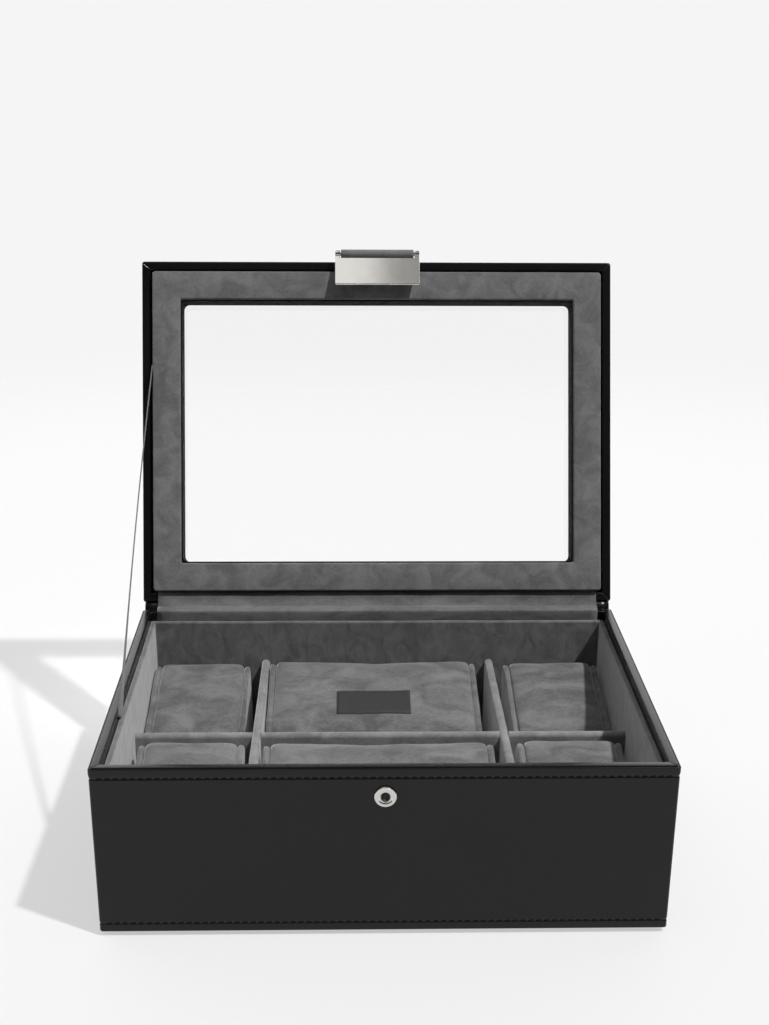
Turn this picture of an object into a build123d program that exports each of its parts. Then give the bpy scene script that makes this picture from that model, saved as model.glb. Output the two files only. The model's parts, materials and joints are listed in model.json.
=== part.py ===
"""Watch box: a leatherette-covered board case with eight cushion places and a windowed lid.

Millimetres. The origin is the centre of the underside, +X to the right, +Y to the back, +Z up.
The box rests open: every lid piece is drawn where it lies when closed, on planes that the
opening turn about the hinge line has already carried round.
"""

import os
from math import cos, hypot, radians, sin, tan

from build123d import *

# Case
WIDTH = 250.0
DEPTH = 181.0
FOOT_H = 2.2  # felt panel that the case stands on
FOOT_INSET = 4.0
RIM_Z = 82.7  # top of the case's rim
SKIN = 0.8  # leatherette
LEAF = 0.6  # leatherette turned down inside the rim
BOARD = 3.2
RIM_W = SKIN + BOARD + LEAF
LEAF_DROP = 12.0
TURN_UNDER = 9.0  # leatherette turned under the floor
FLOOR_T = 3.0
LINING_T = 2.4  # suede on card
LINING_TOP = 78.0
FLOOR_LINING_T = 1.4

# Compartments
DIVIDER_T = 4.2
DIVIDER_TOP = 56.2
DIVIDER_X = (-60.0, 59.4)
CROSS_Y = -4.0
HALVING_GAP = 0.1

# Lid, in closed position
LID_GAP = 0.4
LID_Z = RIM_Z + LID_GAP
LID_H = 17.0
LID_LEAF = 9.0  # leatherette turned up inside the lid's rim
LID_TOP = LID_Z + LID_H
FRAME_W = 18.6  # from the lid's edge to the window
TOP_BOARD = 4.3
PANE_T = 2.0
PANE_LAP = 4.0
PAD_INSET = 5.8
PAD_W = 14.9
PAD_PROUD = 3.0
LIP_T = 0.7  # leatherette-covered lip between the pad and the window
LIP_SHORT = 0.9  # the lip stops this far behind the pad's face
LIP_R = 3.0

# Hinge line: a little behind and above the rim's back edge, where the soft web folds
HINGE_Y = DEPTH / 2 + 1.9
HINGE_Z = RIM_Z + 1.3
OPEN_DEG = 111.2
WEB_T = 0.8
WEB_LOW = 66.0  # the web's lower edge on the case
WEB_SHORT = 5.0  # the web's upper edge stops this far below the lid's top
WEB_HALF = 124.0
GUSSET_T = 0.7
GUSSET_HALF = 117.0

# Stay ribbon, tight between the left wall and the lid
RIBBON_X = -119.8
RIBBON_Y = -33.4
RIBBON_W = 5.5
RIBBON_T = 0.6
RIBBON_TUCK = 2.6  # its ends stop this far from the lining and the lid rim

# Latch, in the position it has on the closed box
BAR_Y = -DEPTH / 2 - 3.3
BAR_Z = 79.0
BAR_R = 1.0
BAR_FIT = 0.06
PLATE_HALF = 22.3
PLATE_T = 1.2
PLATE_TOP = 76.2
PLATE_BOTTOM = 60.0
EAR_W = 2.6
EAR_R = 1.9
SLEEVE_HALF = 19.2
SLEEVE_T = 1.2
STRAP_TOP = 97.0
STRAP_LOW = 80.8
PLATE_REST_DEG = 68.0  # how far the plate has turned up towards the pad on the open lid
SNAP_Z = 69.2
SNAP_R = 4.85
SNAP_PROUD = 1.2
SNAP_HOLE_R = 2.1
STUD_R = 1.7
STUD_L = 2.3
STUD_FLANGE_R = 4.0
STUD_FLANGE_T = 0.5
SPRING_WIRE = 0.35
RIVET_R = 1.9
RIVET_L = 5.0
RIVET_FIT = 0.1
RIVET_WALL = 0.5

# Pillows
PILLOW_D = 68.0
PILLOW_BACK_H = 53.4
PILLOW_TILT = 13.0
WIDE_L = 109.5
NARROW_L = 50.5
COVER_T = 1.5
COVER_ROUND = 2.5
PILLOW_ROUNDS = (5.0, 8.0, 13.0, 5.0)  # back bottom, back top, front top, front bottom
CORE_GAP = 0.1
REST_GAP = 0.1
LABEL_W = 37.4
LABEL_L = 18.2
LABEL_T = 0.5
LABEL_FROM_BACK = 43.4
# name: length, centre along X, back face along Y
PILLOWS = {
    "rear_left": (NARROW_L, -92.4, 78.6),
    "rear_middle": (WIDE_L, -3.0, 81.4),
    "rear_right": (NARROW_L, 90.9, 78.6),
    "front_left": (NARROW_L, -89.7, -12.7),
    "front_middle": (WIDE_L, -1.6, -13.6),
    "front_right": (NARROW_L, 88.8, -12.4),
}

case_plane = Plane.XY


def turn_about(y, z, degrees):
    """A turn about the line through (y, z) that runs along +X."""
    return Location((0, y, z), (degrees, 0, 0)) * Location((0, -y, -z))


lid_turn = turn_about(HINGE_Y, HINGE_Z, -OPEN_DEG)
plate_turn = lid_turn * turn_about(BAR_Y, BAR_Z, PLATE_REST_DEG)
lid_plane = Plane(lid_turn)
latch_plane = Plane(plate_turn)


def finish(part, label):
    """Name a finished piece and write it out."""
    part.part.label = label
    export_step(part.part, f"parts/{label}.step")


def slab(label, frame, x, y, z, holes=()):
    """A board or panel with square edges. x, y and z are its limits in the frame's own axes."""
    with BuildPart() as part:
        with BuildSketch(frame.offset(z[0])):
            with Locations(((x[0] + x[1]) / 2, (y[0] + y[1]) / 2)):
                Rectangle(x[1] - x[0], y[1] - y[0])
        extrude(amount=z[1] - z[0])
        for hole_frame, radius, length in holes:
            with Locations(hole_frame):
                Cylinder(radius, length, mode=Mode.SUBTRACT)
    finish(part, label)


# Each side of the case or lid: its start corner, the way its length runs and the way inwards
SIDES = {
    "front": ((-WIDTH / 2, -DEPTH / 2), (1, 0), (0, 1), WIDTH),
    "right": ((WIDTH / 2, -DEPTH / 2), (0, 1), (-1, 0), DEPTH),
    "back": ((WIDTH / 2, DEPTH / 2), (-1, 0), (0, -1), WIDTH),
    "left": ((-WIDTH / 2, DEPTH / 2), (0, -1), (1, 0), DEPTH),
}


def side_rail(label, frame, side, outline, rounds=(), hole=None):
    """A length of one section along a side, mitred at both corners.

    outline gives the section as (distance in from the outer face, height) points, and rounds
    names the corners to round as (point number, radius).
    """
    corner, along, inward, length = SIDES[side]
    start = frame.from_local_coords((*corner, 0))
    run = frame.from_local_coords((*along, 0)) - frame.from_local_coords((0, 0, 0))
    deep = frame.from_local_coords((*inward, 0)) - frame.from_local_coords((0, 0, 0))
    section = Plane(origin=start, x_dir=deep, z_dir=run)
    end = start + run * length
    with BuildPart() as rail:
        with BuildSketch(section) as profile:
            with BuildLine():
                Polyline(*outline, close=True)
            make_face()
            for number, radius in rounds:
                spot = section.from_local_coords((*outline[number], 0))
                nearest = profile.vertices().sort_by_distance(profile.workplanes[0].to_local_coords(spot))
                fillet(nearest[0], radius)
        extrude(amount=length)
        split(bisect_by=Plane(origin=start, z_dir=run - deep), keep=Keep.TOP)
        split(bisect_by=Plane(origin=end, z_dir=-run - deep), keep=Keep.TOP)
        if hole:
            with Locations(hole[0]):
                Cylinder(hole[1], hole[2], mode=Mode.SUBTRACT)
    finish(rail, label)


def strip_outline(points, thickness):
    """The outline of a thin strip along a line of points, square at its ends."""
    sides = [], []
    for k, (y, z) in enumerate(points):
        (y0, z0), (y1, z1) = points[max(k - 1, 0)], points[min(k + 1, len(points) - 1)]
        size = hypot(y1 - y0, z1 - z0)
        out = -(z1 - z0) / size * thickness / 2, (y1 - y0) / size * thickness / 2
        sides[0].append((y + out[0], z + out[1]))
        sides[1].append((y - out[0], z - out[1]))
    return sides[0] + sides[1][::-1]


def on_open_lid(y, z):
    """Where a closed-position point of the lid lies on the open one, as (y, z)."""
    turned = lid_plane.from_local_coords((0, y, z))
    return turned.Y, turned.Z


def cross_strip(label, outline, x):
    """A soft strip with one section in the YZ plane, from x[0] to x[1]."""
    with BuildPart() as strip:
        with BuildSketch(Plane.YZ.offset(x[0])):
            with BuildLine():
                Polyline(*outline, close=True)
            make_face()
        extrude(amount=x[1] - x[0])
    finish(strip, label)


def divider(label, along_x, at, span, slots, slot_at_top):
    """A suede-covered wall with a round top, and a halving slot at each crossing."""
    low = FOOT_H + SKIN + FLOOR_T + FLOOR_LINING_T
    half = DIVIDER_T / 2
    middle = (low + DIVIDER_TOP) / 2
    frame = Plane.YZ if along_x else Plane.XZ
    with BuildPart() as wall:
        with BuildSketch(frame.offset(span[0] if along_x else -span[1])):
            with BuildLine():
                shoulder = DIVIDER_TOP - half
                Line((at - half, low), (at - half, shoulder))
                ThreePointArc((at - half, shoulder), (at, DIVIDER_TOP), (at + half, shoulder))
                Line((at + half, shoulder), (at + half, low))
                Line((at + half, low), (at - half, low))
            make_face()
        extrude(amount=span[1] - span[0])
        for place in slots:
            base = middle if slot_at_top else low
            with Locations((place, at, base) if along_x else (at, place, base)):
                Box(
                    DIVIDER_T + HALVING_GAP,
                    DIVIDER_T + HALVING_GAP,
                    DIVIDER_TOP - middle + (HALVING_GAP if slot_at_top else 0),
                    align=(Align.CENTER, Align.CENTER, Align.MIN),
                    mode=Mode.SUBTRACT,
                )
    finish(wall, label)


def pillow_outline(inset):
    """The pillow's side view as (y from its back face, height) points, drawn in by inset."""
    slope = tan(radians(PILLOW_TILT))
    drop = inset / cos(radians(PILLOW_TILT))
    back, front = -inset, -PILLOW_D + inset
    return [
        (back, inset),
        (back, PILLOW_BACK_H + back * slope - drop),
        (front, PILLOW_BACK_H + front * slope - drop),
        (front, inset),
    ]


def pillow_view(frame, length, inset):
    """The rounded wedge seen from its end, on the plane where a cover or its core starts."""
    with BuildSketch(frame.offset(-length / 2 + inset)) as view:
        with BuildLine():
            Polyline(*pillow_outline(inset), close=True)
        make_face()
        for point, radius in zip(pillow_outline(inset), PILLOW_ROUNDS):
            nearest = view.vertices().sort_by_distance(point)
            fillet(nearest[0], radius - inset)
    return view.sketch


os.makedirs("parts", exist_ok=True)

# ---- Case -----------------------------------------------------------------------------------
floor_low = FOOT_H + SKIN
floor_top = floor_low + FLOOR_T
inner_x = WIDTH / 2 - RIM_W - LINING_T
inner_y = DEPTH / 2 - RIM_W - LINING_T
snap_frame = Plane(origin=(0, -DEPTH / 2, SNAP_Z), z_dir=(0, -1, 0))

case_skin = [
    (0, FOOT_H),
    (0, RIM_Z),
    (RIM_W, RIM_Z),
    (RIM_W, RIM_Z - LEAF_DROP),
    (RIM_W - LEAF, RIM_Z - LEAF_DROP),
    (RIM_W - LEAF, RIM_Z - SKIN),
    (SKIN, RIM_Z - SKIN),
    (SKIN, FOOT_H + SKIN),
    (TURN_UNDER, FOOT_H + SKIN),
    (TURN_UNDER, FOOT_H),
]
case_board = [
    (SKIN, floor_low),
    (SKIN, RIM_Z - SKIN),
    (SKIN + BOARD, RIM_Z - SKIN),
    (SKIN + BOARD, floor_low),
]
case_lining = [
    (SKIN + BOARD, floor_top),
    (SKIN + BOARD, RIM_Z - LEAF_DROP),
    (RIM_W, RIM_Z - LEAF_DROP),
    (RIM_W, LINING_TOP),
    (RIM_W + LINING_T, LINING_TOP),
    (RIM_W + LINING_T, floor_top),
]
for side in SIDES:
    rivet_hole = (snap_frame, RIVET_R + RIVET_FIT, 2 * (RIVET_L + RIVET_FIT))
    front_hole = rivet_hole if side == "front" else None
    skin_rounds = ((0, 0.7), (1, 0.75), (2, 0.5))
    side_rail(f"case_wrap_{side}", case_plane, side, case_skin, skin_rounds, front_hole)
    side_rail(f"case_board_{side}", case_plane, side, case_board, hole=front_hole)
    side_rail(f"lining_{side}", case_plane, side, case_lining, ((4, 0.9),), front_hole)

board_x = WIDTH / 2 - SKIN - BOARD
board_y = DEPTH / 2 - SKIN - BOARD
slab("case_floor", case_plane, (-board_x, board_x), (-board_y, board_y), (floor_low, floor_top))
slab(
    "lining_floor",
    case_plane,
    (-inner_x, inner_x),
    (-inner_y, inner_y),
    (floor_top, floor_top + FLOOR_LINING_T),
)

with BuildPart() as foot_felt:
    with BuildSketch():
        RectangleRounded(WIDTH - 2 * FOOT_INSET, DEPTH - 2 * FOOT_INSET, 3)
    extrude(amount=FOOT_H)
finish(foot_felt, "foot_felt")

for name, at in zip(("divider_left", "divider_right"), DIVIDER_X):
    divider(name, False, at, (-inner_y, inner_y), (CROSS_Y,), slot_at_top=False)
divider("divider_cross", True, CROSS_Y, (-inner_x, inner_x), DIVIDER_X, slot_at_top=True)

# ---- Snap on the front wall -----------------------------------------------------------------
with BuildPart() as snap_socket:
    with BuildSketch(Plane.YZ):
        with BuildLine():
            face = -DEPTH / 2
            Polyline(
                (face, SNAP_Z + SNAP_HOLE_R),
                (face, SNAP_Z + SNAP_R),
                (face - SNAP_PROUD / 2, SNAP_Z + SNAP_R),
                (face - SNAP_PROUD, SNAP_Z + SNAP_R - 0.9),
                (face - SNAP_PROUD, SNAP_Z + SNAP_HOLE_R + 0.5),
                (face - SNAP_PROUD + 0.4, SNAP_Z + SNAP_HOLE_R),
                close=True,
            )
        make_face()
    revolve(axis=Axis((0, 0, SNAP_Z), (0, 1, 0)))
finish(snap_socket, "snap_socket")

with BuildPart() as snap_spring:
    ring_r = STUD_R + SPRING_WIRE / 2 + 0.02
    with BuildSketch(Plane.YZ):
        with Locations((-DEPTH / 2 - SPRING_WIRE / 2 - 0.02, SNAP_Z + ring_r)):
            Circle(SPRING_WIRE / 2)
    revolve(axis=Axis((0, 0, SNAP_Z), (0, 1, 0)))
finish(snap_spring, "snap_spring")

with BuildPart() as snap_rivet:
    with BuildSketch(snap_frame):
        Circle(RIVET_R)
    extrude(amount=-RIVET_L)
    with BuildSketch(snap_frame):
        Circle(RIVET_R - RIVET_WALL)
    extrude(amount=RIVET_WALL - RIVET_L, mode=Mode.SUBTRACT)
finish(snap_rivet, "snap_rivet")

# ---- Lid ------------------------------------------------------------------------------------
lid_skin = [
    (0, LID_Z),
    (0, LID_TOP),
    (FRAME_W, LID_TOP),
    (FRAME_W, LID_TOP - SKIN - TOP_BOARD),
    (FRAME_W - SKIN, LID_TOP - SKIN - TOP_BOARD),
    (FRAME_W - SKIN, LID_TOP - SKIN),
    (SKIN, LID_TOP - SKIN),
    (SKIN, LID_Z + SKIN),
    (RIM_W - LEAF, LID_Z + SKIN),
    (RIM_W - LEAF, LID_Z + LID_LEAF),
    (RIM_W, LID_Z + LID_LEAF),
    (RIM_W, LID_Z),
]
under_top = LID_TOP - SKIN - TOP_BOARD
lid_board = [
    (SKIN, LID_Z + SKIN),
    (SKIN, under_top),
    (SKIN + BOARD, under_top),
    (SKIN + BOARD, LID_Z + SKIN),
]
lid_frame = [
    (SKIN, under_top),
    (SKIN, LID_TOP - SKIN),
    (FRAME_W - SKIN, LID_TOP - SKIN),
    (FRAME_W - SKIN, under_top),
]
pad_face = LID_Z - PAD_PROUD
pad_edge = PAD_INSET + PAD_W
rebate = FRAME_W - PANE_LAP
lid_pad = [
    (PAD_INSET, pad_face),
    (PAD_INSET, under_top),
    (rebate, under_top),
    (rebate, under_top - PANE_T),
    (pad_edge, under_top - PANE_T),
    (pad_edge, pad_face),
]
for side in SIDES:
    lid_rounds = ((0, 0.5), (1, 0.75), (2, 0.5), (11, 0.5))
    side_rail(f"lid_wrap_{side}", lid_plane, side, lid_skin, lid_rounds)
    side_rail(f"lid_board_{side}", lid_plane, side, lid_board)
    side_rail(f"lid_frame_{side}", lid_plane, side, lid_frame)
    side_rail(f"lid_pad_{side}", lid_plane, side, lid_pad, ((0, 1.5), (5, 1.5)))

with BuildPart() as window_lip:
    lip_size = [side - 2 * pad_edge for side in (WIDTH, DEPTH)]
    with BuildSketch(lid_plane.offset(pad_face + LIP_SHORT)):
        Rectangle(*lip_size)
        RectangleRounded(*(size - 2 * LIP_T for size in lip_size), LIP_R, mode=Mode.SUBTRACT)
    extrude(amount=under_top - PANE_T - pad_face - LIP_SHORT)
finish(window_lip, "window_lip")

pane_x = WIDTH / 2 - rebate - 0.1
pane_y = DEPTH / 2 - rebate - 0.1
slab("window_pane", lid_plane, (-pane_x, pane_x), (-pane_y, pane_y), (under_top - PANE_T, under_top))

# ---- Soft hinge and stay --------------------------------------------------------------------
back = DEPTH / 2
web_outline = [
    (back, WEB_LOW),
    (back + WEB_T, WEB_LOW),
    (back + WEB_T, RIM_Z - 0.4),
    on_open_lid(back + WEB_T, LID_Z + 0.8),
    on_open_lid(back + WEB_T, LID_TOP - WEB_SHORT),
    on_open_lid(back, LID_TOP - WEB_SHORT),
    on_open_lid(back, LID_Z + 0.8),
    (back, RIM_Z - 0.4),
]
cross_strip("hinge_web", web_outline, (-WEB_HALF, WEB_HALF))

leaf_y = back - RIM_W
gusset_line = [
    (leaf_y - 0.4, LINING_TOP + 0.15),
    (leaf_y - 0.6, RIM_Z - 0.3),
    (leaf_y, RIM_Z + 0.9),
    (leaf_y + 2.7, RIM_Z + 1.3),
    (back - 0.3, RIM_Z + 1.8),
    on_open_lid(back - 1.0, LID_Z - 0.65),
    on_open_lid(leaf_y + 0.4, LID_Z - 0.75),
    on_open_lid(leaf_y - 0.6, LID_Z - 0.2),
    on_open_lid(leaf_y - 0.6, LID_Z + 5.4),
]
cross_strip("hinge_gusset", strip_outline(gusset_line, GUSSET_T), (-GUSSET_HALF, GUSSET_HALF))

with BuildPart() as stay_ribbon:
    low_end = Vector(RIBBON_X, RIBBON_Y, LINING_TOP + RIBBON_TUCK)
    high_end = lid_plane.from_local_coords((RIBBON_X, RIBBON_Y, LID_Z - RIBBON_TUCK))
    pull = high_end - low_end
    with BuildSketch(Plane(origin=low_end, x_dir=(1, 0, 0), z_dir=pull)):
        Rectangle(RIBBON_T, RIBBON_W)
    extrude(amount=pull.length)
finish(stay_ribbon, "stay_ribbon")

# ---- Latch ----------------------------------------------------------------------------------
bar_frame = Plane(lid_turn * Location((0, BAR_Y, BAR_Z), (0, 90, 0)))
sleeve_in = BAR_R + BAR_FIT
with BuildPart() as latch_sleeve:
    with BuildSketch(bar_frame.offset(-SLEEVE_HALF)):
        Circle(sleeve_in + SLEEVE_T)
        Circle(sleeve_in, mode=Mode.SUBTRACT)
    extrude(amount=2 * SLEEVE_HALF)
finish(latch_sleeve, "latch_sleeve")

slab(
    "latch_strap",
    lid_plane,
    (-SLEEVE_HALF, SLEEVE_HALF),
    (-DEPTH / 2 - SLEEVE_T, -DEPTH / 2),
    (STRAP_LOW, STRAP_TOP),
)

with BuildPart() as latch_bar:
    with BuildSketch(bar_frame.offset(-PLATE_HALF)):
        Circle(BAR_R)
    extrude(amount=2 * PLATE_HALF)
finish(latch_bar, "latch_bar")

ear_frame = Plane(plate_turn * Location((0, BAR_Y, BAR_Z), (0, 90, 0)))
with BuildPart() as latch_plate:
    with BuildSketch(latch_plane.offset(PLATE_BOTTOM)):
        with Locations((0, BAR_Y)):
            Rectangle(2 * PLATE_HALF, PLATE_T)
    extrude(amount=PLATE_TOP - PLATE_BOTTOM)
    for ear in (-1, 1):
        with BuildSketch(latch_plane.offset(PLATE_TOP)):
            with Locations((ear * (PLATE_HALF - EAR_W / 2), BAR_Y)):
                Rectangle(EAR_W, PLATE_T)
        extrude(amount=BAR_Z - PLATE_TOP)
        with BuildSketch(ear_frame.offset(ear * PLATE_HALF - (EAR_W if ear > 0 else 0))):
            Circle(EAR_R)
        extrude(amount=EAR_W)
    with BuildSketch(ear_frame.offset(-PLATE_HALF)):
        Circle(BAR_R + BAR_FIT)
    extrude(amount=2 * PLATE_HALF, mode=Mode.SUBTRACT)
finish(latch_plate, "latch_plate")

stud_face = BAR_Y + PLATE_T / 2
stud_frame = Plane(plate_turn * Location((0, stud_face, SNAP_Z), (-90, 0, 0)))
with BuildPart() as latch_stud:
    with BuildSketch(stud_frame):
        Circle(STUD_FLANGE_R)
    extrude(amount=STUD_FLANGE_T)
    with BuildSketch(stud_frame):
        Circle(STUD_R)
    extrude(amount=STUD_L)
    stud_tip = stud_frame.from_local_coords((0, 0, STUD_L))
    fillet(latch_stud.edges().filter_by(GeomType.CIRCLE).sort_by_distance(stud_tip)[0], 0.4)
finish(latch_stud, "latch_stud")

# ---- Pillows --------------------------------------------------------------------------------
rest_z = floor_top + FLOOR_LINING_T + REST_GAP
for name, (length, middle, back_y) in PILLOWS.items():
    pillow_frame = Plane(origin=(middle, back_y, rest_z), x_dir=(0, 1, 0), z_dir=(1, 0, 0))
    with BuildPart() as cushion_hollow:
        extrude(pillow_view(pillow_frame, length, COVER_T), amount=length - 2 * COVER_T)
    with BuildPart() as cushion_cover:
        extrude(pillow_view(pillow_frame, length, 0), amount=length)
        ends = cushion_cover.faces().sort_by(Axis.X)
        fillet(ends[0].edges() + ends[-1].edges(), COVER_ROUND)
        add(cushion_hollow.part, mode=Mode.SUBTRACT)
    finish(cushion_cover, f"pillow_cover_{name}")
    with BuildPart() as cushion_core:
        core_inset = COVER_T + CORE_GAP
        extrude(pillow_view(pillow_frame, length, core_inset), amount=length - 2 * core_inset)
    finish(cushion_core, f"pillow_core_{name}")

length, middle, back_y = PILLOWS["rear_middle"]
slope = radians(PILLOW_TILT)
label_plane = Plane(
    origin=(middle, back_y - LABEL_FROM_BACK, rest_z + PILLOW_BACK_H - LABEL_FROM_BACK * tan(slope)),
    x_dir=(1, 0, 0),
    z_dir=(0, -sin(slope), cos(slope)),
)
with BuildPart() as blank_label:
    with BuildSketch(label_plane):
        Rectangle(LABEL_W, LABEL_L)
    extrude(amount=LABEL_T)
finish(blank_label, "blank_label")
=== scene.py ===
"""Watch box: its looks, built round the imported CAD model. Sizes are in millimetres times MM."""

import math
import random

import bmesh
import bpy
from mathutils import Matrix, Vector, noise
from mathutils.bvhtree import BVHTree
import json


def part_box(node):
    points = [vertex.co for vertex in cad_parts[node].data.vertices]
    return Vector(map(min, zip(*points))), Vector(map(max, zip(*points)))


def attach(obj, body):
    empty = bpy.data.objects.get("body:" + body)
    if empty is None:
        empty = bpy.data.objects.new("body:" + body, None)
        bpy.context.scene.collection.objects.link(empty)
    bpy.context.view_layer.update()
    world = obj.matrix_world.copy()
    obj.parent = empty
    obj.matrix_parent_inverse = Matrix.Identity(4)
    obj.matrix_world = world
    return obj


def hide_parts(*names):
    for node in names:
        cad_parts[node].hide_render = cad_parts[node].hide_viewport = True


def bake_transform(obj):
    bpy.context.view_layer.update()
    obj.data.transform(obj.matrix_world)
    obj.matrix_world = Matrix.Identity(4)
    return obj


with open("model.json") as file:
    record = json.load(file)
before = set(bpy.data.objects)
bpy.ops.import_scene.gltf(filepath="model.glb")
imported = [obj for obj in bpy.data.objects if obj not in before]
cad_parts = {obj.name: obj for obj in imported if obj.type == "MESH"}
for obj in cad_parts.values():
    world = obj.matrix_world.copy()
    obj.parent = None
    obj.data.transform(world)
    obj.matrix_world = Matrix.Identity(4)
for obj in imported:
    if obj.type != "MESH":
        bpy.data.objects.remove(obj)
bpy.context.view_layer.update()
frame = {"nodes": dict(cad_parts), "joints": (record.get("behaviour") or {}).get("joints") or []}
MM = 0.001
joints = {joint["name"]: joint for joint in frame["joints"]}


# ---- Camera and studio -----------------------------------------------------------------------
# The box is seen from the front and a little above. It stands on a disc of pale paper, under a
# small key lamp high on the right and a broad softbox overhead. The wall behind it is pale, and
# the room in front of it is dim.

CAMERA_AT = Vector((-14.6, -638.4, 373.0)) * MM
CAMERA_DOWN = math.radians(22.015)
CAMERA_TURN = math.radians(-1.427)
CAMERA_ROLL = math.radians(0.396)

scene = bpy.context.scene
lens = bpy.data.cameras.new("camera")
lens.lens = 51.55
lens.shift_y = 0.1013
lens.clip_start = 0.01
camera = bpy.data.objects.new("camera", lens)
camera.matrix_world = (
    Matrix.Translation(CAMERA_AT)
    @ Matrix.Rotation(CAMERA_TURN, 4, "Z")
    @ Matrix.Rotation(math.pi / 2 - CAMERA_DOWN, 4, "X")
    @ Matrix.Rotation(CAMERA_ROLL, 4, "Z")
)
scene.collection.objects.link(camera)
scene.camera = camera
scene.view_settings.view_transform = "Standard"


def linear(code):
    """The linear colour of an sRGB hex code."""
    shares = [int(code[k : k + 2], 16) / 255 for k in (1, 3, 5)]
    bent = [s / 12.92 if s <= 0.04045 else ((s + 0.055) / 1.055) ** 2.4 for s in shares]
    return (*bent, 1.0)


def add_node(tree, kind, inputs=(), **settings):
    """A new shader node with its settings, and its inputs as values or as other nodes' outputs."""
    made = tree.nodes.new("ShaderNode" + kind)
    for name, value in settings.items():
        setattr(made, name, value)
    for name, value in dict(inputs).items():
        if isinstance(value, bpy.types.NodeSocket):
            tree.links.new(value, made.inputs[name])
        else:
            made.inputs[name].default_value = value
    return made


def new_material(name, colour, **sockets):
    """A material of one Principled shader. Returns it with its node tree and that shader."""
    material = bpy.data.materials.new(name)
    material.use_nodes = True
    tree = material.node_tree
    shader = tree.nodes["Principled BSDF"]
    shader.inputs["Base Color"].default_value = linear(colour)
    for socket, value in sockets.items():
        shader.inputs[socket.replace("_", " ")].default_value = value
    return material, tree, shader


def paper_floor():
    """Matt white paper that glows a little, as under many lamps, and fades into the backdrop."""
    material, tree, shader = new_material(
        "paper_white", "#949494", Roughness=0.95, Emission_Strength=0.52, Emission_Color=linear("#FEFEFF")
    )
    away = add_node(tree, "VectorMath", {0: add_node(tree, "TexCoord").outputs["Object"]}, operation="LENGTH")
    fade = add_node(
        tree,
        "MapRange",
        {"Value": away.outputs["Value"], "From Min": FLOOR_R * 0.5, "From Max": FLOOR_R * 0.97},
        interpolation_type="SMOOTHSTEP",
    )
    open_air = add_node(tree, "BsdfTransparent").outputs["BSDF"]
    edge = add_node(tree, "MixShader", {0: fade.outputs["Result"], 1: shader.outputs["BSDF"], 2: open_air})
    tree.links.new(edge.outputs["Shader"], tree.nodes["Material Output"].inputs["Surface"])
    turns = [math.pi * k / 32 for k in range(64)]
    mesh = bpy.data.meshes.new("paper_floor")
    mesh.from_pydata([(FLOOR_R * math.cos(t), FLOOR_R * math.sin(t), 0) for t in turns], [], [range(64)])
    mesh.materials.append(material)
    floor = bpy.data.objects.new("paper_floor", mesh)
    scene.collection.objects.link(floor)
    return floor


def studio_walls():
    """A pale wall behind, a dim room in front and a soft ceiling. To look at, it is all pale."""
    surround = bpy.data.worlds.new("studio")
    surround.use_nodes = True
    tree = surround.node_tree
    way = add_node(tree, "SeparateXYZ", {"Vector": add_node(tree, "TexCoord").outputs["Generated"]})
    room = add_node(tree, "ValToRGB", {"Fac": way.outputs["Z"]})
    for stop, (at, grey) in zip(room.color_ramp.elements, ((0.0, 0.04), (1.0, 0.4))):
        stop.position, stop.color = at, (grey, grey, grey, 1.0)
    rise = room.color_ramp.elements.new(0.6)
    rise.color = (0.16, 0.16, 0.16, 1.0)
    wall = add_node(tree, "ValToRGB", {"Fac": way.outputs["Z"]})
    for stop, (at, grey) in zip(wall.color_ramp.elements, ((0.45, 2.0), (0.65, 0.36))):
        stop.position, stop.color = at, (grey, grey, grey, 1.0)
    behind = add_node(
        tree,
        "MapRange",
        {"Value": way.outputs["Y"], "From Min": 0.1, "From Max": 0.5},
        interpolation_type="SMOOTHSTEP",
    )
    light = add_node(
        tree,
        "Mix",
        {0: behind.outputs["Result"], 6: room.outputs["Color"], 7: wall.outputs["Color"]},
        data_type="RGBA",
    )
    pale = linear("#F5F5F6")
    ray = add_node(tree, "LightPath")
    looked_at = add_node(
        tree,
        "Math",
        {0: ray.outputs["Is Camera Ray"], 1: ray.outputs["Is Transmission Ray"]},
        operation="MAXIMUM",
    )
    shown = add_node(tree, "Mix", {0: looked_at.outputs[0], 6: light.outputs[2], 7: pale}, data_type="RGBA")
    tree.links.new(shown.outputs[2], tree.nodes["Background"].inputs["Color"])
    return surround


FLOOR_R = 1.3
paper_floor()
scene.world = studio_walls()

KEY_FROM = Vector((0.44, -0.25, 0.86))
key = bpy.data.objects.new("key_lamp", bpy.data.lights.new("key_lamp", "SUN"))
key.data.energy = 3.2
key.data.angle = math.radians(2.5)
key.rotation_euler = KEY_FROM.to_track_quat("Z", "Y").to_euler()
scene.collection.objects.link(key)

overhead = bpy.data.objects.new("overhead_softbox", bpy.data.lights.new("overhead_softbox", "AREA"))
overhead.data.shape = "RECTANGLE"
overhead.data.size, overhead.data.size_y = 1.2, 1.4
overhead.data.energy = 4.2
overhead.location = (-0.56, -0.2, 2.1)
scene.collection.objects.link(overhead)


# ---- Board carcase ---------------------------------------------------------------------------
# The walls, floor and lid frame are grey-brown fibreboard, glued at the corners. The leatherette
# and the suede cover them everywhere, so only a cut edge or an opened joint ever shows them.


def along_surface(tree):
    """Texture coordinates in metres that stay with the piece."""
    return add_node(tree, "TexCoord").outputs["Object"]


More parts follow.
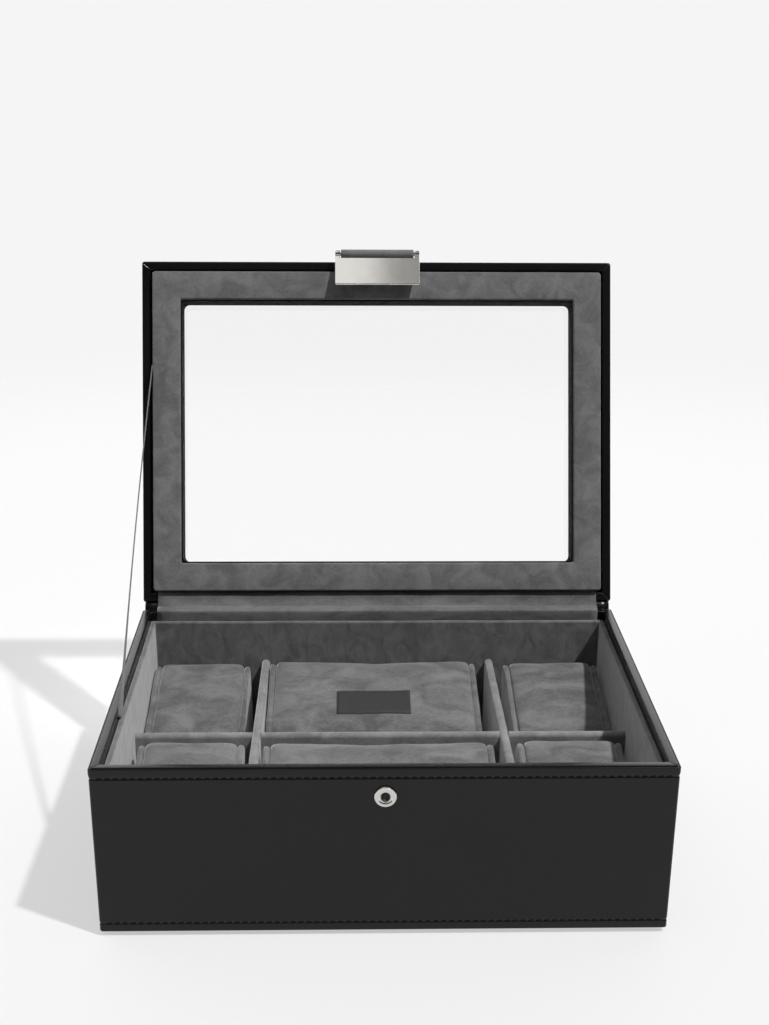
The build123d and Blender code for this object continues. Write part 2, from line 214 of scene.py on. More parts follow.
def fibreboard():
    """Fibreboard: pressed wood fibre, matt, flecked at about a millimetre."""
    material, tree, shader = new_material("fibreboard_pressed", "#8C6E52", Roughness=0.85)
    place = along_surface(tree)
    flecks = add_node(tree, "TexNoise", {"Vector": place, "Scale": 1 / (1.2 * MM), "Detail": 6.0})
    tint = add_node(tree, "ValToRGB", {"Fac": flecks.outputs["Fac"]})
    tint.color_ramp.elements[0].color = linear("#6F543C")
    tint.color_ramp.elements[1].color = linear("#A58766")
    tree.links.new(tint.outputs["Color"], shader.inputs["Base Color"])
    return material


def refinish(material, *names):
    """Give carried-over CAD nodes a material."""
    for name in names:
        mesh = frame["nodes"][name].data
        mesh.materials.clear()
        mesh.materials.append(material)


SIDES = ("front", "right", "back", "left")
board = fibreboard()
refinish(board, "case_floor")
for side in SIDES:
    refinish(board, f"case_board_{side}", f"lid_board_{side}", f"lid_frame_{side}")


# ---- Case skin -------------------------------------------------------------------------------
# Black leatherette, a polyurethane film on cloth, glued round the four walls and turned down
# inside the rim, where each corner is folded to a mitre. A crease runs along the rim, where the
# outer skin's edge is folded under, and a stitched line runs near the top and the foot.

SKIN = 0.8 * MM
RIM_W = 4.6 * MM
RIM_ROUND = 0.9 * MM
CORNER_R = 1.3 * MM
TURN_UNDER = 9.0 * MM
LEAF_DROP = 12.0 * MM
STITCH_FROM_RIM = 4.9 * MM
STITCH_FROM_FOOT = 4.3 * MM
GROOVE_W = 0.8 * MM
GROOVE_DEPTH = 0.35 * MM
FOLD_DEPTH = 0.3 * MM
FOLD_W = 0.22 * MM

case_low, case_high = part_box("case_wrap_front")[0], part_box("case_wrap_back")[1]
HALF_X, HALF_Y = case_high.x, case_high.y
RIM_Z, FOOT_Z = case_high.z, case_low.z


def rounded(outline, steps=5):
    """An outline with its corners rounded. Each of its points is (u, v, radius)."""
    line = []
    for k, (u, v, radius) in enumerate(outline):
        here = Vector((u, v))
        if not radius:
            line.append(here)
            continue
        back = (Vector(outline[k - 1][:2]) - here).normalized()
        ahead = (Vector(outline[(k + 1) % len(outline)][:2]) - here).normalized()
        half = math.acos(max(-1.0, min(1.0, back.dot(ahead)))) / 2
        centre = here + (back + ahead).normalized() * radius / math.sin(half)
        start = here + back * radius / math.tan(half) - centre
        end = here + ahead * radius / math.tan(half) - centre
        sweep = math.atan2(start.x * end.y - start.y * end.x, start.dot(end))
        for step in range(steps + 1):
            turn = Matrix.Rotation(sweep * step / steps, 2)
            line.append(centre + turn @ start)
    return line


def plan_loop(half_x, half_y, radius, steps, cuts):
    """Points round a rectangle with rounded corners, with each side cut into equal lengths."""
    corners = []
    for quarter, (sx, sy) in enumerate(((1, -1), (1, 1), (-1, 1), (-1, -1))):
        middle = Vector((sx * (half_x - radius), sy * (half_y - radius)))
        turns = [math.pi / 2 * (quarter - 1 + step / steps) for step in range(steps + 1)]
        corners.append([middle + radius * Vector((math.cos(t), math.sin(t))) for t in turns])
    loop = []
    for k, corner in enumerate(corners):
        after = corners[(k + 1) % 4][0]
        loop += corner
        loop += [corner[-1].lerp(after, cut / (cuts + 1)) for cut in range(1, cuts + 1)]
    return loop


def new_piece(name, points, faces, material, body=None):
    """A smooth-shaded mesh piece that rides on a body."""
    mesh = bpy.data.meshes.new(name)
    mesh.from_pydata([tuple(p) for p in points], [], faces)
    work = bmesh.new()
    work.from_mesh(mesh)
    bmesh.ops.recalc_face_normals(work, faces=work.faces)
    work.to_mesh(mesh)
    work.free()
    mesh.shade_smooth()
    mesh.materials.append(material)
    piece = bpy.data.objects.new(name, mesh)
    scene.collection.objects.link(piece)
    if body:
        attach(piece, body)
    return piece


def even_shading(piece):
    """Large flat faces keep their own shading beside small rounds."""
    flat = piece.modifiers.new("even_shading", "WEIGHTED_NORMAL")
    flat.keep_sharp = True
    flat.weight = 80
    return piece


def tube_faces(rings, length, closed=True):
    """Faces between rings of points of the same length, joined into a loop if closed."""
    faces = []
    for k in range(rings if closed else rings - 1):
        this, after = k * length, (k + 1) % rings * length
        for j in range(length):
            faces.append((this + j, this + (j + 1) % length, after + (j + 1) % length, after + j))
    return faces


def frame_ring(name, section, corner, material, body, steps=6, cuts=11, moved=None):
    """A closed section run round the box. Its points are (distance in, height).

    corner gives the plan radius at a distance in, and moved may shift each point.
    """
    points = []
    for inward, height in section:
        for p in plan_loop(HALF_X - inward, HALF_Y - inward, corner(inward), steps, cuts):
            points.append(Vector((p.x, p.y, height)))
    length = len(points) // len(section)
    faces = tube_faces(len(section), length)
    if moved:
        points = [moved(p) for p in points]
    return even_shading(new_piece(name, points, faces, material, body))


def leatherette():
    """Leatherette: an embossed polyurethane film, black and satin, with a fine calf grain.

    The grain is about 0.7 mm across and very shallow, so it only breaks up the sheen.
    """
    material, tree, shader = new_material(
        "leatherette_black", "#08080A", Roughness=0.26, IOR=1.5, Specular_IOR_Level=0.3
    )
    place = along_surface(tree)
    grain = add_node(
        tree, "TexVoronoi", {"Vector": place, "Scale": 1 / (0.7 * MM)}, feature="SMOOTH_F1"
    )
    pores = add_node(tree, "TexNoise", {"Vector": place, "Scale": 1 / (0.25 * MM), "Detail": 3.0})
    relief = add_node(
        tree,
        "Math",
        {0: grain.outputs["Distance"], 1: pores.outputs["Fac"]},
        operation="ADD",
    )
    cloud = add_node(tree, "TexNoise", {"Vector": place, "Scale": 1 / (38 * MM), "Detail": 3.0})
    shine = add_node(
        tree,
        "MapRange",
        {"Value": cloud.outputs["Fac"], "From Min": 0.3, "From Max": 0.7, "To Min": 0.22, "To Max": 0.3},
    )
    tint = add_node(tree, "ValToRGB", {"Fac": cloud.outputs["Fac"]})
    tint.color_ramp.elements[0].position = 0.3
    tint.color_ramp.elements[0].color = linear("#070708")
    tint.color_ramp.elements[1].position = 0.75
    tint.color_ramp.elements[1].color = linear("#0B0B0D")
    bump = add_node(
        tree, "Bump", {"Height": relief.outputs[0], "Strength": 0.2, "Distance": 0.04 * MM}
    )
    tree.links.new(tint.outputs["Color"], shader.inputs["Base Color"])
    tree.links.new(shine.outputs["Result"], shader.inputs["Roughness"])
    tree.links.new(bump.outputs["Normal"], shader.inputs["Normal"])
    return material


def stitch_groove(inward, height):
    """Section points of the shallow channel that a seam pulls into the skin, going up."""
    return [
        (inward, height - GROOVE_W, 0),
        (inward + GROOVE_DEPTH * 0.4, height - GROOVE_W / 2, 0),
        (inward + GROOVE_DEPTH, height, 0),
        (inward + GROOVE_DEPTH * 0.4, height + GROOVE_W / 2, 0),
        (inward, height + GROOVE_W, 0),
    ]


def fold_sink(p):
    """How deep the fold is at a point: deepest on each corner's diagonal."""
    off = abs((HALF_X - abs(p.x)) - (HALF_Y - abs(p.y))) / math.sqrt(2)
    return FOLD_DEPTH * math.exp(-((off / FOLD_W) ** 2))


def mitre_fold(p):
    """Sink the rim's surface along each corner's diagonal, where the skin is folded."""
    if p.z < RIM_Z - RIM_ROUND:
        return p
    return p - Vector((0, 0, fold_sink(p)))


top_stitch_z = RIM_Z - STITCH_FROM_RIM
foot_stitch_z = FOOT_Z + STITCH_FROM_FOOT
case_section = rounded(
    [
        (0, FOOT_Z, 0.7 * MM),
        *stitch_groove(0, foot_stitch_z),
        *stitch_groove(0, top_stitch_z),
        (-0.15 * MM, top_stitch_z + 2 * MM, 0),
        (-0.12 * MM, RIM_Z - 0.5 * MM, 0.3 * MM),
        (0.4 * MM, RIM_Z - 0.5 * MM, 0.15 * MM),
        (0.55 * MM, RIM_Z - 0.95 * MM, 0),
        (0.75 * MM, RIM_Z - 0.45 * MM, 0),
        (1.05 * MM, RIM_Z, 0.3 * MM),
        (RIM_W / 2, RIM_Z + 0.12 * MM, 0),
        (RIM_W, RIM_Z, RIM_ROUND * 0.8),
        (RIM_W, RIM_Z - LEAF_DROP, 0),
        (RIM_W - SKIN, RIM_Z - LEAF_DROP, 0),
        (RIM_W - SKIN, RIM_Z - SKIN * 1.6, 0),
        (SKIN, RIM_Z - SKIN * 1.6, 0),
        (SKIN, FOOT_Z + SKIN, 0),
        (TURN_UNDER, FOOT_Z + SKIN, 0),
        (TURN_UNDER, FOOT_Z, 0),
    ]
)
leather = leatherette()


def case_corner(inward):
    """The plan radius of the case's corners, which tightens inwards."""
    return max(CORNER_R - inward * 0.55, 0.35 * MM)


case_skin = frame_ring("case_skin", case_section, case_corner, leather, "case", moved=mitre_fold)
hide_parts(*(f"case_wrap_{side}" for side in SIDES))

# The seams: black bonded thread, in lockstitches of 3.5 mm that dip into the skin at both ends.

STITCH_PITCH = 3.5 * MM
STITCH_LENGTH = 2.6 * MM
THREAD_R = 0.38 * MM
STITCH_SLANT = math.radians(6)
SLANT_SPREAD = math.radians(2)
# (place along a stitch, thickness, lift in millimetres), from one dipping end to the other
STITCH_STATIONS = [
    (-1, 0.3, -0.34),
    (-0.8, 0.85, -0.06),
    (-0.35, 1, 0.1),
    (0.35, 1, 0.1),
    (0.8, 0.85, -0.06),
    (1, 0.3, -0.34),
]


def bonded_thread():
    """Bonded polyester thread: round, black and dull.

    Its twist is too fine to show, so it is drawn as a slow wave of about 6 mm.
    """
    material, tree, shader = new_material("thread_black", "#050505", Roughness=0.7, Specular_IOR_Level=0.15)
    twist = add_node(
        tree,
        "TexWave",
        {"Vector": along_surface(tree), "Scale": 0.05 / (0.5 * MM)},
        bands_direction="DIAGONAL",
    )
    bump = add_node(tree, "Bump", {"Height": twist.outputs["Fac"], "Strength": 0.3, "Distance": 0.04 * MM})
    tree.links.new(bump.outputs["Normal"], shader.inputs["Normal"])
    return material


def stitch_row(name, runs, material, body):
    """Threads along straight runs of (start, end, outward direction)."""
    rng = random.Random(7)
    points, faces, around = [], [], 6
    for start, end, out in runs:
        along = (end - start).normalized()
        across = out.cross(along)
        count = round((end - start).length / STITCH_PITCH)
        pitch = (end - start).length / count
        for k in range(count):
            middle = start + along * pitch * (k + 0.5)
            slant = STITCH_SLANT + rng.uniform(-1, 1) * SLANT_SPREAD
            way = along * math.cos(slant) + across * math.sin(slant)
            side = out.cross(way)
            first = len(points)
            for share, size, lift in STITCH_STATIONS:
                centre = middle + way * share * STITCH_LENGTH / 2 + out * lift * MM
                for j in range(around):
                    turn = 2 * math.pi * j / around
                    edge = side * math.cos(turn) + out * math.sin(turn)
                    points.append(centre + edge * THREAD_R * size)
            tube = tube_faces(len(STITCH_STATIONS), around, closed=False)
            faces += [tuple(first + v for v in face) for face in tube]
            last = first + (len(STITCH_STATIONS) - 1) * around
            faces.append(tuple(range(first, first + around)))
            faces.append(tuple(range(last, last + around)))
    row = new_piece(name, points, faces, material, body)
    return row


def rows_round(half_x, half_y, z, margin):
    """Straight runs round the four sides of a box."""
    x, y = half_x - margin, half_y - margin
    return [
        (Vector((-x, -half_y, z)), Vector((x, -half_y, z)), Vector((0, -1, 0))),
        (Vector((half_x, -y, z)), Vector((half_x, y, z)), Vector((1, 0, 0))),
        (Vector((x, half_y, z)), Vector((-x, half_y, z)), Vector((0, 1, 0))),
        (Vector((-half_x, y, z)), Vector((-half_x, -y, z)), Vector((-1, 0, 0))),
    ]


thread = bonded_thread()
for seam, height in (("top", top_stitch_z), ("foot", foot_stitch_z)):
    sunk = GROOVE_DEPTH * 0.8
    rows = rows_round(HALF_X - sunk, HALF_Y - sunk, height, 2.5 * MM)
    stitch_row(f"case_stitching_{seam}", rows, thread, "case")


# ---- Foot ------------------------------------------------------------------------------------
# A thin panel of pressed black felt under the floor, set back from the walls, so that the box
# stands on it and a dark line shows below the skin.


def pressed_felt():
    """Wool felt: matted fibres with no weave, matt black, fuzzy at a fraction of a millimetre."""
    material, tree, shader = new_material("felt_black", "#0B0B0C", Roughness=0.95, Sheen_Weight=0.2)
    fuzz = add_node(tree, "TexNoise", {"Vector": along_surface(tree), "Scale": 1 / (0.5 * MM), "Detail": 5.0})
    bump = add_node(tree, "Bump", {"Height": fuzz.outputs["Fac"], "Strength": 0.6, "Distance": 0.2 * MM})
    tree.links.new(bump.outputs["Normal"], shader.inputs["Normal"])
    return material


refinish(pressed_felt(), "foot_felt")


# ---- Suede lining ----------------------------------------------------------------------------
# Grey faux suede on card, glued round the inside of the walls with a soft rolled top edge, and
# on the floor. The nap lies in cloudy strokes, lighter and darker where it was brushed.

LINING_OUT = 4.0 * MM
LINING_IN = 7.0 * MM
LINING_ROUND = 1.1 * MM
LINING_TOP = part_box("lining_front")[1].z
FLOOR_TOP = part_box("lining_floor")[0].z


def suede(name, dark, light, stroke=1.0):
    """Faux suede: a raised microfibre nap, matt, with a soft edge of light at a slant.

    The fibres are far finer than can show, so their bump is drawn at 0.35 mm.
    """
    material, tree, shader = new_material(
        name, dark, Roughness=0.92, Sheen_Weight=0.7, Sheen_Roughness=0.4
    )
    shader.inputs["Specular IOR Level"].default_value = 0.25
    place = along_surface(tree)
    lie = add_node(tree, "Mapping", {"Vector": place, "Scale": (1 / stroke, 1.0, 1.0)})
    cloud = add_node(
        tree,
        "TexNoise",
        {"Vector": lie.outputs["Vector"], "Scale": 1 / (11 * MM), "Detail": 5.0, "Distortion": 0.8},
    )
    fibre = add_node(
        tree, "TexNoise", {"Vector": lie.outputs["Vector"], "Scale": 1 / (1.1 * MM), "Detail": 5.0}
    )
    patch = add_node(
        tree,
        "Mix",
        {"Factor": 0.3, 2: cloud.outputs["Fac"], 3: fibre.outputs["Fac"]},
        data_type="FLOAT",
    )
    tint = add_node(tree, "ValToRGB", {"Fac": patch.outputs[0]})
    tint.color_ramp.elements[0].position = 0.38
    tint.color_ramp.elements[0].color = linear(dark)
    tint.color_ramp.elements[1].position = 0.62
    tint.color_ramp.elements[1].color = linear(light)
    nap = add_node(tree, "TexNoise", {"Vector": place, "Scale": 1 / (0.35 * MM), "Detail": 3.0})
    bump = add_node(tree, "Bump", {"Height": nap.outputs["Fac"], "Strength": 0.35, "Distance": 0.12 * MM})
    soft = add_node(
        tree,
        "Bump",
        {
            "Height": cloud.outputs["Fac"],
            "Strength": 0.35,
            "Distance": 1.2 * MM,
            "Normal": bump.outputs["Normal"],
        },
    )
    tree.links.new(tint.outputs["Color"], shader.inputs["Base Color"])
    tree.links.new(soft.outputs["Normal"], shader.inputs["Normal"])
    return material


def soft_edge(p):
    """The rolled edge and the wall under it wander a little, as glued cloth does."""
    wander = noise.noise_vector(p / (22 * MM)) * 0.22 * MM
    share = max(0.0, min(1.0, (p.z - FLOOR_TOP) / (LINING_TOP - FLOOR_TOP)))
    return p + Vector((wander.x, wander.y, wander.z * 0.5)) * share


suede_wall = suede("suede_grey_lining", "#565756", "#6C6D6C", stroke=0.6)
lining_section = rounded(
    [
        (LINING_OUT, FLOOR_TOP, 0),
        (LINING_OUT, LINING_TOP - 7.4 * MM, 0),
        (RIM_W + 0.05 * MM, LINING_TOP - 7.3 * MM, 0),
        (RIM_W + 0.05 * MM, LINING_TOP, LINING_ROUND),
        (LINING_IN, LINING_TOP, LINING_ROUND),
        (LINING_IN, LINING_TOP - 9 * MM, 0),
        (LINING_IN, LINING_TOP - 30 * MM, 0),
        (LINING_IN, FLOOR_TOP, 0),
    ]
)
wall_lining = frame_ring(
    "wall_lining", lining_section, lambda inward: 0.5 * MM, suede_wall, "case", cuts=23, moved=soft_edge
)
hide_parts(*(f"lining_{side}" for side in SIDES))

refinish(suede("suede_grey_floor", "#565756", "#6A6B6A"), "lining_floor")


# ---- Dividers --------------------------------------------------------------------------------
# Thin boards wrapped in the same suede, round along the top, halved into each other where they
# cross. Their tops catch the light, and the dividers' suede is painted lighter than the lining's:
# a painted highlight that stands in for the sheen on their rounded tops.

# Painted highlight: these colours are lighter than the other suede's, in place of the sheen on the rounded
# tops.
refinish(suede("suede_grey_divider_painted_sheen", "#6C6D6C", "#868786"), "divider_left", "divider_right", "divider_cross")


# ---- Snap ------------------------------------------------------------------------------------
# A nickel-plated snap socket riveted through the front wall, with a spring ring in its mouth
# that grips the latch's stud.


def nickel(name, colour, roughness):
    """Nickel plate, or the bare steel of the spring: bright, with faint polishing haze."""
    material, tree, shader = new_material(name, colour, Metallic=1.0, Roughness=roughness)
    haze = add_node(tree, "TexNoise", {"Vector": along_surface(tree), "Scale": 1 / (6 * MM), "Detail": 4.0})
    gloss = add_node(
        tree,
        "MapRange",
        {"Value": haze.outputs["Fac"], "To Min": roughness * 0.7, "To Max": roughness * 1.4},
    )
    tree.links.new(gloss.outputs["Result"], shader.inputs["Roughness"])
    return material


def lathe(name, line, start, way, material, body, steps=48):
    """A turned piece: (radius, distance) points spun about the way from start."""
    turn = way.to_track_quat("Z", "Y").to_matrix()
    points = []
    for radius, distance in line:
        for k in range(steps):
            angle = 2 * math.pi * k / steps
            spoke = Vector((radius * math.cos(angle), radius * math.sin(angle), distance))
            points.append(start + turn @ spoke)
    return new_piece(name, points, tube_faces(len(line), steps), material, body)


bright_nickel = nickel("nickel_polished", "#CFCCC7", 0.1)
socket_low, socket_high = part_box("snap_socket")
snap_at = (socket_low + socket_high) / 2
snap_at.y = socket_high.y
socket_line = rounded(
    [
        (2.1 * MM, 0, 0),
        (4.85 * MM, 0, 0.1 * MM),
        (4.85 * MM, 1.0 * MM, 0.45 * MM),
        (3.4 * MM, 1.2 * MM, 0.3 * MM),
        (2.9 * MM, 0.95 * MM, 0.25 * MM),
        (2.1 * MM, 0.8 * MM, 0.25 * MM),
    ]
)
outward_y = Vector((0, -1, 0))
socket = even_shading(lathe("snap_socket_ring", socket_line, snap_at, outward_y, bright_nickel, "case"))
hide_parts("snap_socket")
refinish(bright_nickel, "snap_rivet")
refinish(nickel("spring_steel", "#7C7B79", 0.25), "snap_spring")


# ---- Lid skin --------------------------------------------------------------------------------
# The lid's frame is wrapped in the same leatherette, mitred at its corners and turned into the
# window opening and up inside the rim. It is made closed and then turned open on its hinge line.

HINGE_AT = Vector(joints["lid_hinge"]["pos_m"])
OPEN_TURN = -math.radians(joints["lid_hinge"]["range_deg"][1])
FRAME_W = 18.6 * MM
TOP_BOARD = 4.3 * MM
LID_LEAF = 9.0 * MM
WINDOW_R = 3.0 * MM


def turned(p, pivot, angle):
    """A point turned about the line through pivot that runs along +X."""
    return pivot + Matrix.Rotation(angle, 3, "X") @ (p - pivot)


def opened(p):
    """A point of the closed lid, where it lies on the open one."""
    return turned(p, HINGE_AT, OPEN_TURN)


def closed_box(name):
    """The limits of a lid node as they are when the lid is closed."""
    spots = [turned(v.co, HINGE_AT, -OPEN_TURN) for v in frame["nodes"][name].data.vertices]
    low = Vector([min(s[k] for s in spots) for k in range(3)])
    return low, Vector([max(s[k] for s in spots) for k in range(3)])


LID_LOW, LID_TOP = closed_box("lid_wrap_front")[0].z, closed_box("lid_wrap_front")[1].z
UNDER_TOP = LID_TOP - SKIN - TOP_BOARD


def lid_fold(p):
    """Mitre folds on the lid's rim and outer face, then the turn that opens the lid."""
    if p.z < LID_LOW + RIM_ROUND:
        p = p + Vector((0, 0, fold_sink(p)))
    return opened(p)


def lid_corner(inward):
    """The plan radius of the lid's corners: tight at the rim, round at the window."""
    if inward > FRAME_W - 2 * SKIN:
        return WINDOW_R
    return max(CORNER_R - inward * 0.5, 0.35 * MM)


lid_section = rounded(
    [
        (0, LID_LOW, RIM_ROUND),
        (0, LID_LOW + 2 * MM, 0),
        (0, LID_TOP - 2 * MM, 0),
        (0, LID_TOP, RIM_ROUND),
        (2 * MM, LID_TOP, 0),
        (FRAME_W - 2 * MM, LID_TOP, 0),
        (FRAME_W, LID_TOP, RIM_ROUND),
        (FRAME_W, UNDER_TOP, 0),
        (FRAME_W - SKIN, UNDER_TOP, 0),
        (FRAME_W - SKIN, LID_TOP - SKIN, 0),
        (SKIN, LID_TOP - SKIN, 0),
        (SKIN, LID_LOW + SKIN * 1.6, 0),
        (RIM_W - SKIN, LID_LOW + SKIN * 1.6, 0),
        (RIM_W - SKIN, LID_LOW + LID_LEAF, 0),
        (RIM_W, LID_LOW + LID_LEAF, 0),
        (RIM_W, LID_LOW, RIM_ROUND * 0.8),
    ]
)
lid_skin = frame_ring("lid_skin", lid_section, lid_corner, leather, "lid", moved=lid_fold)
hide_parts(*(f"lid_wrap_{side}" for side in SIDES))


# ---- Window ----------------------------------------------------------------------------------
# A 2 mm clear acrylic pane, let into a rebate behind the pad.


def clear_acrylic():
    """Cast acrylic: clear and flat, it mirrors a little and lets the lamps through."""
    material, tree, shader = new_material("acrylic_clear", "#FFFFFF", Roughness=0.0, IOR=1.49)
    shader.inputs["Transmission Weight"].default_value = 1.0
    lamp_ray = add_node(tree, "LightPath").outputs["Is Shadow Ray"]
    open_air = add_node(tree, "BsdfTransparent").outputs["BSDF"]
    blend = add_node(tree, "MixShader", {0: lamp_ray, 1: shader.outputs["BSDF"], 2: open_air})
    tree.links.new(blend.outputs["Shader"], tree.nodes["Material Output"].inputs["Surface"])
    return material


refinish(clear_acrylic(), "window_pane")


def blacked_card():
    """Black card: matt, so the lip round the pane stays dark where it is seen at a slant."""
    material, tree, shader = new_material("card_black", "#0B0B0C", Roughness=0.8, Specular_IOR_Level=0.12)
    place = along_surface(tree)
    fibres = add_node(tree, "TexNoise", {"Vector": place, "Scale": 1 / (0.8 * MM), "Detail": 4.0})
    bump = add_node(tree, "Bump", {"Height": fibres.outputs["Fac"], "Strength": 0.3, "Distance": 0.05 * MM})
    tree.links.new(bump.outputs["Normal"], shader.inputs["Normal"])
    return material


refinish(blacked_card(), "window_lip")


# ---- Lid pad ---------------------------------------------------------------------------------
# A padded frame inside the lid: thin foam on card, wrapped in one piece of suede. It is crowned
# across its width, soft along both edges, and returns to the pane inside the opening.

PAD_OUT = 5.8 * MM
PAD_W = 14.9 * MM
PAD_PROUD = 3.3 * MM
PAD_CROWN = 0.35 * MM


def pad_lie(p):
    """The suede wanders a little over its foam, then the turn that opens the lid."""
    depth = max(0.0, min(1.0, (LID_LOW + 2 * MM - p.z) / (3 * MM)))
    wander = noise.noise(p / (17 * MM)) * 0.3 * MM + noise.noise(p / (5 * MM)) * 0.06 * MM
    return opened(p + Vector((0, 0, wander * depth)))


def pad_corner(inward):
    """The plan radius of the pad's corners, between its outer and inner edges."""
    return 1.6 * MM if inward < PAD_OUT + PAD_W / 2 else 1.1 * MM


PAD_FACE = LID_LOW - PAD_PROUD
pad_in = PAD_OUT + PAD_W
pad_section = rounded(
    [
        (PAD_OUT, UNDER_TOP - 0.2 * MM, 0),
        (PAD_OUT + 0.15 * MM, LID_LOW + 3 * MM, 0),
        (PAD_OUT, PAD_FACE + PAD_CROWN, 0.8 * MM),
        (PAD_OUT + PAD_W * 0.3, PAD_FACE, 0),
        (PAD_OUT + PAD_W * 0.5, PAD_FACE - 0.05 * MM, 0),
        (PAD_OUT + PAD_W * 0.7, PAD_FACE, 0),
        (pad_in, PAD_FACE + PAD_CROWN, 1.2 * MM),
        (pad_in - 0.1 * MM, LID_LOW + 4 * MM, 0),
        (pad_in, UNDER_TOP - 2.4 * MM, 0),
        (pad_in - 4 * MM, UNDER_TOP - 2.3 * MM, 0),
        (pad_in - 6.8 * MM, UNDER_TOP - 0.2 * MM, 0),
    ]
)
suede_pad = suede("suede_grey_pad", "#5A5B5A", "#727372", stroke=1.0)
lid_pad = frame_ring("lid_pad", pad_section, pad_corner, suede_pad, "lid", cuts=39, moved=pad_lie)
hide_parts(*(f"lid_pad_{side}" for side in SIDES))


# ---- Soft hinge ------------------------------------------------------------------------------
# There is no metal hinge: a leatherette web is glued across the back of the case and lid, and a
# suede gusset inside covers the gap and folds down onto the lining.


def strip(name, line, thick, half, cuts, material, wave=0.0):
    """A soft strip with one line of (y, z) points for its section, from -half to half in X."""
    spots = [Vector(point) for point in line]
    sides = [], []
    for k, spot in enumerate(spots):
        along = (spots[min(k + 1, len(spots) - 1)] - spots[max(k - 1, 0)]).normalized()
        out = Vector((-along.y, along.x)) * thick / 2
        sides[0].append(spot + out)
        sides[1].append(spot - out)
    ring = sides[0] + sides[1][::-1]
    points = []
    for cut in range(cuts + 1):
        x = -half + 2 * half * cut / cuts
        for k, spot in enumerate(ring):
            place = min(k, len(ring) - 1 - k) / (len(spots) - 1)
            sway = wave * math.sin(math.pi * place) * noise.noise(Vector((x / (26 * MM), place * 2, 3)))
            points.append(Vector((x, spot.x + sway * 0.6, spot.y + sway)))
    faces = tube_faces(cuts + 1, len(ring), closed=False)
    for cut in (0, cuts):
        first = cut * len(ring)
        for k in range(len(spots) - 1):
            faces.append((first + k, first + k + 1, first + len(ring) - 2 - k, first + len(ring) - 1 - k))
    return new_piece(name, points, faces, material)


def smooth_line(points, per_span=5):
    """A smooth line through (y, z) points."""
    line = []
    spots = [Vector(p) for p in points]
    for k in range(len(spots) - 1):
        a, b = spots[max(k - 1, 0)], spots[k]
        c, d = spots[k + 1], spots[min(k + 2, len(spots) - 1)]
        for step in range(per_span):
            t = step / per_span
            line.append(
                b
                + (c - a) * t / 2
                + (2 * a - 5 * b + 4 * c - d) * t**2 / 2
                + (3 * b - a - 3 * c + d) * t**3 / 2
            )
    return line + [spots[-1]]


def lid_yz(y, z):
    """The (y, z) on the open lid of a closed-lid place."""
    spot = opened(Vector((0, y, z)))
    return spot.y, spot.z


WEB_T = 0.8 * MM
web_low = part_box("hinge_web")[0].z
web_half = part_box("hinge_web")[1].x
web_mid = HALF_Y + WEB_T / 2
web_line = smooth_line(
    [
        (web_mid, web_low),
        (web_mid, web_low + 8 * MM),
        (web_mid, RIM_Z - 1.5 * MM),
        lid_yz(web_mid, LID_LOW + 1.6 * MM),
        lid_yz(web_mid, LID_LOW + 6 * MM),
        lid_yz(web_mid, LID_TOP - 5 * MM),
    ]
)
hinge_web = strip("hinge_web_cloth", web_line, WEB_T, web_half, 60, leather, wave=0.12 * MM)
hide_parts("hinge_web")
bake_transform(hinge_web)

leaf_y = HALF_Y - RIM_W
gusset_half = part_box("hinge_gusset")[1].x
gusset_line = smooth_line(
    [
        (leaf_y - 0.4 * MM, LINING_TOP - 0.5 * MM),
        (leaf_y - 0.6 * MM, RIM_Z - 0.3 * MM),
        (leaf_y, RIM_Z + 0.9 * MM),
        (leaf_y + 2.7 * MM, RIM_Z + 1.5 * MM),
        (HALF_Y - 0.3 * MM, RIM_Z + 1.6 * MM),
        lid_yz(HALF_Y - 1.0 * MM, LID_LOW - 0.3 * MM),
        lid_yz(leaf_y + 0.8 * MM, LID_LOW - 0.1 * MM),
        lid_yz(leaf_y - 0.4 * MM, LID_LOW + 0.6 * MM),
        lid_yz(leaf_y - 0.6 * MM, LID_LOW + 5.4 * MM),
    ]
)
suede_gusset = suede("suede_grey_gusset", "#525352", "#6C6D6C", stroke=2.0)
gusset = strip("hinge_gusset_cloth", gusset_line, 0.7 * MM, gusset_half, 60, suede_gusset, wave=0.25 * MM)
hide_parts("hinge_gusset")
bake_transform(gusset)


# ---- Stay ribbon -----------------------------------------------------------------------------
# A narrow woven ribbon between the left wall and the lid's rim. It stops the lid and is tight
# when the lid is open, on edge to the front.

RIBBON_W = 5.5 * MM
RIBBON_T = 0.6 * MM
RIBBON_X = (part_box("stay_ribbon")[0].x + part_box("stay_ribbon")[1].x) / 2
RIBBON_Y = -33.4 * MM
RIBBON_TWIST = -0.17
RIBBON_BOW = 0.9 * MM


def grosgrain():
    """Grosgrain: a ribbed polyester ribbon, its ribs 0.6 mm apart across it, with a dull sheen."""
    material, tree, shader = new_material("ribbon_grey", "#5E5F60", Roughness=0.65, Sheen_Weight=0.2)
    ribs = add_node(
        tree, "TexWave", {"Vector": along_surface(tree), "Scale": 0.314 / (0.6 * MM)}, bands_direction="Z"
    )
    bump = add_node(tree, "Bump", {"Height": ribs.outputs["Fac"], "Strength": 0.6, "Distance": 0.15 * MM})
    tint = add_node(tree, "ValToRGB", {"Fac": ribs.outputs["Fac"]})
    tint.color_ramp.elements[0].color = linear("#505152")
    tint.color_ramp.elements[1].color = linear("#6C6D6E")
    tree.links.new(tint.outputs["Color"], shader.inputs["Base Color"])
    tree.links.new(bump.outputs["Normal"], shader.inputs["Normal"])
    return material


